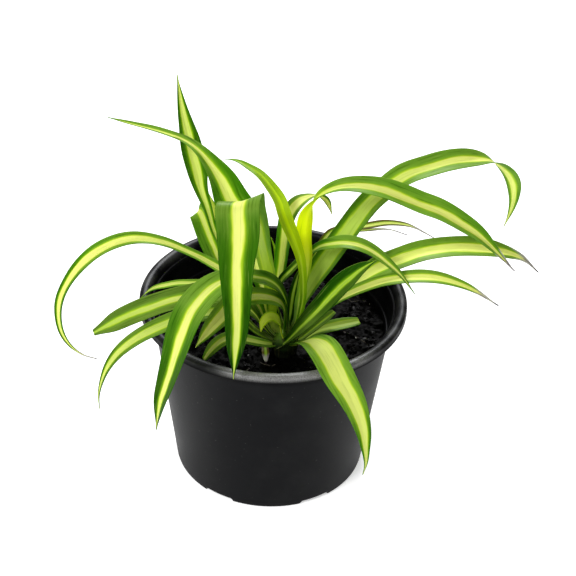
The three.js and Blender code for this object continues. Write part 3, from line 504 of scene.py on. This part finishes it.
def soil_finish(name, dark, light, grain, rough, wet):
    """Potting mix or one of its parts, composted and milled. Damp crumbs look near black with
    brown and grey fibres, and their wet faces glint. Grain is the crumbs' size in mm."""
    made, tree = new_finish(name)
    where = put(tree, "TexCoord").outputs["Object"]
    crumb = put(tree, "TexNoise", {
        "Vector": where, "Scale": 1 / (grain * MM), "Detail": 6.0, "Roughness": 0.7})
    patch = put(tree, "TexNoise", {"Vector": where, "Scale": 1 / (6 * grain * MM), "Detail": 2.0})
    lit = put(tree, "MapRange", [crumb, 0.45, 0.75], STEP)
    colour = put(tree, "Mix", {0: lit, 6: srgb(dark), 7: srgb(light)}, COLOURS)
    damp = put(tree, "MapRange", [patch, 0.4, 0.7, 0.0, 0.5], STEP)
    colour = put(tree, "Mix", {0: damp, 6: colour, 7: srgb(dark)}, COLOURS)
    relief = put(tree, "Bump", {"Height": crumb, "Strength": 0.7, "Distance": 0.5 * MM})
    skin = put(tree, "BsdfPrincipled", {
        "Base Color": colour, "Normal": relief, "Roughness": rough, "Specular IOR Level": wet})
    put(tree, "OutputMaterial", {"Surface": skin})
    return made


def crown_finish():
    """Leaf bases packed round the stem, grown in upright fibres. They are painted dark at the foot as
    shade, stained with soil along the fibres, and pale green at the top, where the leaves part."""
    made, tree = new_finish("pale_leaf_sheath")
    where = put(tree, "TexCoord").outputs["Object"]
    height = put(tree, "SeparateXYZ", [where]).outputs["Z"]
    # Fibres 1.2 mm wide and 12 mm long.
    fibres = (1 / (1.2 * MM), 1 / (1.2 * MM), 1 / (12 * MM))
    upright = put(tree, "Mapping", {"Vector": where, "Scale": fibres})
    fibre = put(tree, "TexNoise", {"Vector": upright, "Scale": 1.0, "Detail": 3.0})
    # Painted shade: the crown darkens towards its foot.
    risen = put(tree, "MapRange", [height, 98 * MM, 111 * MM], STEP)
    colour = put(tree, "ValToRGB", [risen], {}, [(0.0, "#0c1204"), (0.45, "#24400c"), (1.0, "#6f9a24")])
    stained = put(tree, "MapRange", [fibre, 0.5, 0.7, 0.0, 0.5], STEP)
    colour = put(tree, "Mix", {0: stained, 6: colour, 7: srgb("#3c3a1c")}, COLOURS)
    relief = put(tree, "Bump", {"Height": fibre, "Strength": 0.5, "Distance": 0.4 * MM})
    skin = put(tree, "BsdfPrincipled", {
        "Base Color": colour, "Normal": relief, "Roughness": 0.6, "Specular IOR Level": 0.15})
    put(tree, "OutputMaterial", {"Surface": skin})
    return made


def backdrop_finish():
    """White opal sheet lit from below, a shadowless studio table. It fades into the background."""
    made, tree = new_finish("lit_white_opal_sheet")
    skin = put(tree, "BsdfPrincipled", {
        "Base Color": srgb("#e8e8e8"), "Roughness": 0.9, "Emission Color": srgb("#ffffff"),
        "Emission Strength": TABLE_GLOW})
    put(tree, "OutputMaterial", {"Surface": skin})
    return made


# Shapes

def finish_piece(name, bm, finishes, node=None, smooth=True):
    """Turns a bmesh into a piece on the root body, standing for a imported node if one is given."""
    mesh = bpy.data.meshes.new(name)
    for face in bm.faces:
        face.smooth = smooth
    bm.to_mesh(mesh)
    bm.free()
    piece = bpy.data.objects.new(name, mesh)
    bpy.context.collection.objects.link(piece)
    for finish in finishes:
        mesh.materials.append(finish)
    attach(piece, "root")
    if node:
        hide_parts(node)
    return piece


def lathe(profile, steps):
    """A closed body turned about +Z from [radius, height] pairs, from axis to axis."""
    bm = bmesh.new()
    spots = [bm.verts.new((radius * MM, 0, height * MM)) for radius, height in profile]
    edges = [bm.edges.new(pair) for pair in zip(spots, spots[1:])]
    bmesh.ops.spin(bm, geom=spots + edges, cent=(0, 0, 0), axis=(0, 0, 1), angle=2 * math.pi,
                   steps=steps, use_merge=True, use_duplicate=False)
    bmesh.ops.remove_doubles(bm, verts=bm.verts, dist=1e-6)
    bmesh.ops.recalc_face_normals(bm, faces=bm.faces)
    return bm


def rounded(corners):
    """A profile whose corners, given as (radius, height, rounding), are turned into arcs."""
    points = []
    last = len(corners) - 1
    for i, (x, y, size) in enumerate(corners):
        here = Vector((x, y))
        if size == 0 or i in (0, last):
            points.append((x, y))
            continue
        back = Vector(corners[i - 1][:2]) - here
        on = Vector(corners[i + 1][:2]) - here
        reach = min(size, back.length * 0.45, on.length * 0.45)
        a = here + back.normalized() * reach
        b = here + on.normalized() * reach
        for k in range(5):
            t = k / 4
            spot = a * (1 - t) ** 2 + here * 2 * t * (1 - t) + b * t * t
            points.append((spot.x, spot.y))
    return points


def near_notch(angle):
    """Degrees from the middle of the nearest notch in the foot."""
    pitch = 360 / FOOT_COUNT
    return (angle - NOTCH_OFFSET_DEGREES + pitch / 2) % pitch - pitch / 2


def drill_floor(pot):
    """Six drain holes, one behind each notch."""
    bm = bmesh.new()
    for i in range(FOOT_COUNT):
        turn = math.radians(NOTCH_OFFSET_DEGREES + 360 * i / FOOT_COUNT)
        centre = Vector((math.cos(turn), math.sin(turn), 0)) * DRAIN_CIRCLE * MM
        bmesh.ops.create_cone(bm, cap_ends=True, segments=32, radius1=DRAIN_RADIUS * MM,
                              radius2=DRAIN_RADIUS * MM, depth=20 * MM, matrix=Matrix.Translation(centre))
    mesh = bpy.data.meshes.new("drills")
    bm.to_mesh(mesh)
    bm.free()
    drills = bpy.data.objects.new("drills", mesh)
    bpy.context.collection.objects.link(drills)
    cut = pot.modifiers.new("drain_holes", "BOOLEAN")
    cut.operation = "DIFFERENCE"
    cut.solver = "EXACT"
    cut.object = drills
    bpy.context.view_layer.update()
    cut_mesh = bpy.data.meshes.new_from_object(pot.evaluated_get(bpy.context.evaluated_depsgraph_get()))
    pot.modifiers.clear()
    whole = pot.data
    pot.data = cut_mesh
    bpy.data.meshes.remove(whole)
    bpy.data.objects.remove(drills)


def build_pot(finish):
    """The moulded pot: one turned profile, with its foot notched and its floor drilled."""
    under_lip = POT_HEIGHT - LIP_DEPTH
    shoulder = POT_HEIGHT - SHOULDER_DEPTH
    ledge = POT_HEIGHT - COLLAR_DEPTH
    band = RIM_RADIUS - RIM_BAND
    channel_end = DRAIN_CIRCLE - CHANNEL_PAST_DRAIN
    bm = lathe(rounded([
        (0, 0, 0), (channel_end, 0, 0), (channel_end + 0.4, 0, 0), (BASE_RADIUS - 3, 0, 0),
        (BASE_RADIUS, 0, 1.6), (BASE_RADIUS + 0.4, 3.2, 0), (BASE_RADIUS + 0.45, 3.5, 0),
        (WALL_RADIUS_UNDER_LIP, under_lip - 0.4, 1), (band + 1, POT_HEIGHT - 3.2, 1),
        (RIM_RADIUS - LIP_SKIN, POT_HEIGHT - 2.4, 1), (RIM_RADIUS - LIP_SKIN, under_lip, 0.4),
        (RIM_RADIUS, under_lip, 0.5), (RIM_RADIUS - 0.1, POT_HEIGHT - 0.6, 2.2),
        (RIM_RADIUS - 2.6, POT_HEIGHT, 1.6), (band + 1, POT_HEIGHT - 0.5, 1.2),
        (band, POT_HEIGHT - 1.8, 0.8), (SHOULDER_RADIUS + 1.8, shoulder + 1.9, 0.6),
        (SHOULDER_RADIUS + 0.9, shoulder + 2.3, 0.8), (SHOULDER_RADIUS, shoulder + 0.4, 1.4),
        (LEDGE_RADIUS + 1.2, ledge + 0.2, 0.8), (LEDGE_RADIUS, ledge, 0.8),
        (BASE_RADIUS - WALL, FLOOR_TOP, 1.5), (0, FLOOR_TOP, 0),
    ]), POT_STEPS)
    # The foot ring is parted by low notches, which run in under the floor as channels.
    for spot in bm.verts:
        radius = math.hypot(spot.co.x, spot.co.y) / MM
        angle = math.degrees(math.atan2(spot.co.y, spot.co.x))
        in_foot = spot.co.z < 3.3 * MM and radius > channel_end + 0.2
        if in_foot and abs(near_notch(angle)) <= NOTCH_DEGREES / 2:
            spot.co.z = max(spot.co.z, NOTCH_HEIGHT * MM)
    pot = finish_piece("nursery_pot", bm, [finish], "pot")
    drill_floor(pot)


def build_lug(finish):
    """A small moulded lug that hangs under the lip at the left."""
    bm = bmesh.new()
    place = Vector((RIM_RADIUS - 4.5, 0, POT_HEIGHT - LIP_DEPTH - 0.6)) * MM
    size = Matrix.Diagonal([side * MM for side in LUG_SIZE] + [1])
    turn = Matrix.Rotation(math.radians(LUG_DEGREES), 4, "Z")
    bmesh.ops.create_cube(bm, size=1.0, matrix=turn @ Matrix.Translation(place) @ size)
    bmesh.ops.bevel(bm, geom=bm.edges[:], offset=0.8 * MM, segments=3, profile=0.5, affect="EDGES",
                    material=-1)
    finish_piece("pot_lug", bm, [finish])


def soil_height(x, y):
    """Height of the potting mix in millimetres at a spot on its top."""
    coarse = math.sin(x * 0.21 + 1.3) * math.cos(y * 0.24 - 0.4)
    swell = noise.noise(Vector((x, y, 0)) * 0.09)
    crumb = noise.fractal(Vector((x, y, 3)) * 0.30, 0.8, 2.1, 4)
    cell = noise.voronoi(Vector((x, y, 1)) * 0.28)[0][0]
    share = math.hypot(x, y) / SOIL_EDGE
    away = min(max((share - SOIL_EVEN_SHARE) / (1 - SOIL_EVEN_SHARE), 0.0), 1.0)
    fall = SOIL_DROP * away * away * (3 - 2 * away)
    return SOIL_TOP - 0.9 - fall + 0.5 * coarse + swell + 1.3 * crumb + 1.6 * (0.45 - cell)


def build_soil(finish):
    """Potting mix: a disc whose top is raised in crumbs and clods, and its sides run down."""
    bm = bmesh.new()
    bmesh.ops.create_grid(bm, x_segments=SOIL_CELLS, y_segments=SOIL_CELLS, size=1.0)
    for spot in bm.verts:
        x, y = spot.co.x, spot.co.y
        round_x = x * math.sqrt(1 - y * y / 2) * SOIL_EDGE
        round_y = y * math.sqrt(1 - x * x / 2) * SOIL_EDGE
        spot.co = Vector((round_x, round_y, soil_height(round_x, round_y))) * MM
    rim = [edge for edge in bm.edges if edge.is_boundary]
    made = bmesh.ops.extrude_edge_only(bm, edges=rim)["geom"]
    for spot in made:
        if isinstance(spot, bmesh.types.BMVert):
            spot.co.x *= SOIL_BASE_RADIUS / SOIL_EDGE
            spot.co.y *= SOIL_BASE_RADIUS / SOIL_EDGE
            spot.co.z = SOIL_BOTTOM * MM
    bmesh.ops.holes_fill(bm, edges=[edge for edge in bm.edges if edge.is_boundary])
    bmesh.ops.recalc_face_normals(bm, faces=bm.faces)
    finish_piece("potting_mix", bm, [finish], "soil")


def scatter(name, finish, count, seed, sizes, flat, long, lift):
    """Seeded bits lying on the soil, each a small lump squashed and turned at random. Sizes are
    in mm. Flat, long and lift are the height, the most length and the rise, in sizes."""
    draw = random.Random(seed)
    bm = bmesh.new()
    made = 0
    while made < count:
        radius = SOIL_EDGE * math.sqrt(draw.random()) * 0.97
        turn = draw.uniform(0, 2 * math.pi)
        x, y = radius * math.cos(turn), radius * math.sin(turn)
        if (Vector((x, y)) - CROWN.xy).length < CROWN_RADIUS + 2:
            continue
        size = draw.uniform(*sizes)
        place = Matrix.Translation(Vector((x, y, soil_height(x, y) + lift * size)) * MM)
        place = place @ Matrix.Rotation(draw.uniform(0, 2 * math.pi), 4, "Z")
        place = place @ Matrix.Rotation(draw.uniform(-0.5, 0.5), 4, "X")
        place = place @ Matrix.Rotation(draw.uniform(-0.4, 0.4), 4, "Y")
        stretch = draw.uniform(1.0, long)
        place = place @ Matrix.Diagonal((size * stretch * MM, size * MM, size * flat * MM, 1))
        lump = bmesh.ops.create_icosphere(bm, subdivisions=1, radius=0.5, matrix=place)["verts"]
        for spot in lump:
            spot.co += noise.noise_vector(spot.co * 900) * size * 0.16 * MM
        made += 1
    bmesh.ops.recalc_face_normals(bm, faces=bm.faces)
    finish_piece(name, bm, [finish], smooth=False)


def build_roots(finish):
    """A few hair roots and peat fibres lying on the mix."""
    draw = random.Random(21)
    bm = bmesh.new()
    for _ in range(ROOT_COUNT):
        turn = draw.uniform(0, 2 * math.pi)
        radius = draw.uniform(20, SOIL_EDGE - 8)
        spot = Vector((radius * math.cos(turn), radius * math.sin(turn), 0))
        heading = draw.uniform(0, 2 * math.pi)
        thick = draw.uniform(0.25, 0.5)
        ring = bmesh.ops.create_circle(bm, segments=5, radius=thick * MM)["verts"]
        for corner in ring:
            corner.co = corner.co + Vector((spot.x, spot.y, soil_height(spot.x, spot.y) + 0.4)) * MM
        edges = list(dict.fromkeys(edge for corner in ring for edge in corner.link_edges))
        bm.faces.new(ring)
        for _ in range(draw.randint(4, 8)):
            heading += draw.uniform(-0.5, 0.5)
            step = Vector((math.cos(heading), math.sin(heading), 0)) * ROOT_STEP
            inside = min(1.0, (SOIL_EDGE - 2) / max((spot + step).length, 1))
            target = (spot + step) * inside
            rise = soil_height(target.x, target.y) - soil_height(spot.x, spot.y)
            geom = bmesh.ops.extrude_edge_only(bm, edges=edges)["geom"]
            moved = [item for item in geom if isinstance(item, bmesh.types.BMVert)]
            edges = [item for item in geom if isinstance(item, bmesh.types.BMEdge)]
            move = Vector((target.x - spot.x, target.y - spot.y, rise))
            bmesh.ops.translate(bm, verts=moved, vec=move * MM)
            spot = target
        bmesh.ops.holes_fill(bm, edges=edges)
    bmesh.ops.recalc_face_normals(bm, faces=bm.faces)
    finish_piece("root_fibres", bm, [finish])


def build_crown(finish):
    """The short stem, wrapped in leaf bases that show as upright folds."""
    bm = lathe(rounded([
        (0, -CROWN_DEPTH, 0), (CROWN_RADIUS - 0.5, -CROWN_DEPTH, 1), (CROWN_RADIUS, 1.5, 1),
        (CROWN_RADIUS + 0.8, 4, 2), (CROWN_RADIUS + 0.4, 8, 2),
        (CROWN_RADIUS - 2, CROWN_RISE - 1.5, 2), (0, CROWN_RISE, 0),
    ]), CROWN_STEPS)
    for spot in bm.verts:
        angle = math.atan2(spot.co.y, spot.co.x)
        fold = abs(math.sin(angle * 3.5 + spot.co.z * 90))
        spot.co.x *= 0.90 + 0.10 * fold
        spot.co.y *= 0.90 + 0.10 * fold
    bmesh.ops.translate(bm, verts=bm.verts, vec=CROWN * MM)
    finish_piece("crown_sheaths", bm, [finish], "crown")


def smooth_points(points, count):
    """Evenly spaced points on a centripetal curve through the points, and the curve's length."""
    ends = [points[0] * 2 - points[1]] + points + [points[-1] * 2 - points[-2]]
    fine = []
    for a, b, c, d in zip(ends, ends[1:], ends[2:], ends[3:]):
        gap = [max((q - p).length ** 0.5, 1e-3) for p, q in ((a, b), (b, c), (c, d))]
        start = ((b - a) / gap[0] - (c - a) / (gap[0] + gap[1]) + (c - b) / gap[1]) * gap[1]
        stop = ((c - b) / gap[1] - (d - b) / (gap[1] + gap[2]) + (d - c) / gap[2]) * gap[1]
        for k in range(40):
            t = k / 40
            fine.append(b + start * t + (c * 3 - b * 3 - start * 2 - stop) * t * t
                        + (b * 2 - c * 2 + start + stop) * t * t * t)
    fine.append(points[-1])
    spent = [0.0]
    for p, q in zip(fine, fine[1:]):
        spent.append(spent[-1] + (q - p).length)
    length = spent[-1]
    placed = []
    for i in range(count + 1):
        goal = length * i / count
        k = min(max(bisect.bisect_left(spent, goal), 1), len(spent) - 1)
        t = (goal - spent[k - 1]) / max(spent[k] - spent[k - 1], 1e-9)
        placed.append(fine[k - 1].lerp(fine[k], t))
    return placed, length


def along(values, share):
    """Values at even places, read between them on a smooth curve."""
    last = len(values) - 1
    if last == 0:
        return values[0]
    spot = share * last
    i = min(int(spot), last - 1)
    t = spot - i
    a, b, c, d = (values[min(max(i + k, 0), last)] for k in (-1, 0, 1, 2))
    return b + 0.5 * t * (c - a + t * (2 * a - 5 * b + 4 * c - d + t * (3 * b - a - 3 * c + d)))


def leaf_rings(leaf):
    """Centre, side and face directions, half width and fold at every ring of a blade."""
    heading = math.radians(leaf["heading"])
    ahead = Vector((math.cos(heading), math.sin(heading), 0))
    left = Vector((-math.sin(heading), math.cos(heading), 0))
    midrib = []
    for point in leaf["path"]:
        reach, height = point[:2]
        shift = point[2] if len(point) > 2 else 0
        midrib.append(CROWN + ahead * reach + left * shift + Vector((0, 0, height)))
    rough_length = sum((q - p).length for p, q in zip(midrib, midrib[1:]))
    count = max(12, round(rough_length / RING_SPACING))
    centres, length = smooth_points(midrib, count)
    rings = []
    for i, centre in enumerate(centres):
        share = i / count
        run = (centres[min(i + 1, count)] - centres[max(i - 1, 0)]).normalized()
        flat = (left - run * left.dot(run)).normalized()
        upper = run.cross(flat)
        roll = math.radians(along(leaf["roll"], share))
        side = flat * math.cos(roll) + upper * math.sin(roll)
        face = run.cross(side)
        half = max(TIP_WIDTH, along(leaf["width"], share)) / 2
        # Near the root the blade folds round the stem as a sheath.
        sheath = max(0.0, 1 - share / SHEATH_SHARE) ** 1.5
        fold = math.radians(leaf["fold"] + (SHEATH_FOLD - leaf["fold"]) * sheath)
        rings.append((centre, side, face, half + SHEATH_SPREAD * sheath, fold))
    return rings, length


def build_leaf(leaf, seed, finishes):
    """One blade: a grid laid along its midrib, channelled, then given its thickness."""
    rings, length = leaf_rings(leaf)
    count = len(rings) - 1
    bm = bmesh.new()
    bmesh.ops.create_grid(bm, x_segments=ACROSS, y_segments=count, size=1.0)
    place_layer = bm.verts.layers.float_vector.new("blade_place")
    look_layer = bm.verts.layers.float_vector.new("blade_look")
    wear_layer = bm.verts.layers.float_vector.new("blade_wear")
    for spot in bm.verts:
        place, share = spot.co.x, (spot.co.y + 1) / 2
        centre, side, face, half, fold = rings[round(share * count)]
        grown = length * share
        # Each margin widens and narrows over some 20 mm, and ripples up and down.
        wave = noise.noise(Vector((grown * 0.05, seed * 7.3, 2 + (place > 0))))
        aside = place * half * (1 + WIDTH_WAVE * wave) * math.cos(fold)
        ripple = noise.noise(Vector((grown * 0.06, place * 1.2, seed * 3.1))) * abs(place)
        groove = max(0.0, 1 - abs(place) * 4) * min(1.0, half / 4)
        rise = abs(place) ** 1.3 * half * math.sin(fold)
        rise += EDGE_RIPPLE * ripple - MIDRIB_GROOVE * groove
        spot.co = (centre + side * aside + face * rise) * MM
        spot[place_layer] = (place, share, grown)
        spot[look_layer] = [along(leaf[key], share) for key in ("stripe", "tone", "pale")]
        spot[wear_layer] = (leaf["dry"], seed, half)
    bmesh.ops.recalc_face_normals(bm, faces=bm.faces)
    middle = rings[count // 2]
    upper_face = min(bm.faces, key=lambda f: (f.calc_center_median() - middle[0] * MM).length)
    if upper_face.normal.dot(middle[2]) < 0:
        bmesh.ops.reverse_faces(bm, faces=bm.faces)
    piece = finish_piece(leaf["name"].replace("leaf_", "blade_"), bm, finishes, leaf["name"])
    skin = piece.modifiers.new("thickness", "SOLIDIFY")
    skin.thickness = LEAF_THICKNESS * MM
    skin.offset = 0.0
    skin.material_offset = 1
    soften = piece.modifiers.new("soften", "SUBSURF")
    soften.levels = 1
    soften.render_levels = 1


# Camera, light and floor

def build_floor(finish):
    bm = bmesh.new()
    bmesh.ops.create_grid(bm, x_segments=1, y_segments=1, size=6.0)
    mesh = bpy.data.meshes.new("studio_floor")
    bm.to_mesh(mesh)
    bm.free()
    floor = bpy.data.objects.new("studio_floor", mesh)
    bpy.context.collection.objects.link(floor)
    mesh.materials.append(finish)


def build_light():
    world = bpy.data.worlds.new("white_studio")
    bpy.context.scene.world = world
    world.use_nodes = True
    world.node_tree.nodes["Background"].inputs["Color"].default_value = (1, 1, 1, 1)
    world.node_tree.nodes["Background"].inputs["Strength"].default_value = WORLD_STRENGTH
    for lamp in LAMPS:
        light = bpy.data.lights.new(lamp["name"], "AREA")
        light.shape = "DISK"
        light.size = lamp["size"]
        light.energy = lamp["watts"]
        holder = bpy.data.objects.new(lamp["name"], light)
        bpy.context.collection.objects.link(holder)
        holder.location = lamp["place"]
        holder.rotation_euler = (LAMP_AIM - Vector(lamp["place"])).to_track_quat("-Z", "Y").to_euler()


def build_camera():
    lens = bpy.data.cameras.new("camera")
    lens.lens = LENS_MM
    lens.sensor_width = SENSOR_MM
    camera = bpy.data.objects.new("camera", lens)
    bpy.context.collection.objects.link(camera)
    view = (CAMERA_AIM - CAMERA_PLACE).normalized()
    right = view.cross(Vector((0, 0, 1))).normalized()
    up = right.cross(view)
    roll = math.radians(CAMERA_ROLL)
    across = right * math.cos(roll) + up * math.sin(roll)
    above = up * math.cos(roll) - right * math.sin(roll)
    turn = Matrix((across, above, -view)).transposed().to_4x4()
    camera.matrix_world = Matrix.Translation(CAMERA_PLACE) @ turn
    bpy.context.scene.camera = camera
    bpy.context.scene.view_settings.view_transform = "Standard"


build_floor(backdrop_finish())
build_light()
build_camera()
plastic = pot_finish()
build_pot(plastic)
build_lug(plastic)
# The dents in the crumbs come from seeded noise, so that every run gives the same ones.
noise.seed_set(DENT_SEED)
build_soil(soil_finish("damp_peat_mix", "#000000", "#080604", grain=1.1, rough=0.55, wet=0.03))
scatter("bark_chips", soil_finish("composted_bark", "#010101", "#120d09", grain=0.8, rough=0.3, wet=0.07),
        count=150, seed=3, sizes=(1.5, 4.2), flat=0.35, long=2.4, lift=0.10)
scatter("peat_crumbs", soil_finish("peat_crumb", "#000000", "#080604", grain=0.5, rough=0.45, wet=0.03),
        count=800, seed=5, sizes=(0.8, 2.6), flat=0.7, long=1.5, lift=0.15)
scatter("perlite_grains", soil_finish("perlite", "#8f8f8a", "#f0f0ea", grain=0.6, rough=0.8, wet=0.5),
        count=26, seed=8, sizes=(0.6, 1.5), flat=0.8, long=1.2, lift=0.25)
build_roots(soil_finish("dry_root_fibre", "#2c261f", "#6a6254", grain=0.8, rough=0.7, wet=0.3))
build_crown(crown_finish())
leaf_faces = [leaf_finish("living_leaf_upper_face", False), leaf_finish("living_leaf_underside", True)]
for number, leaf in enumerate(LEAVES):
    build_leaf(leaf, number + 1, leaf_faces)
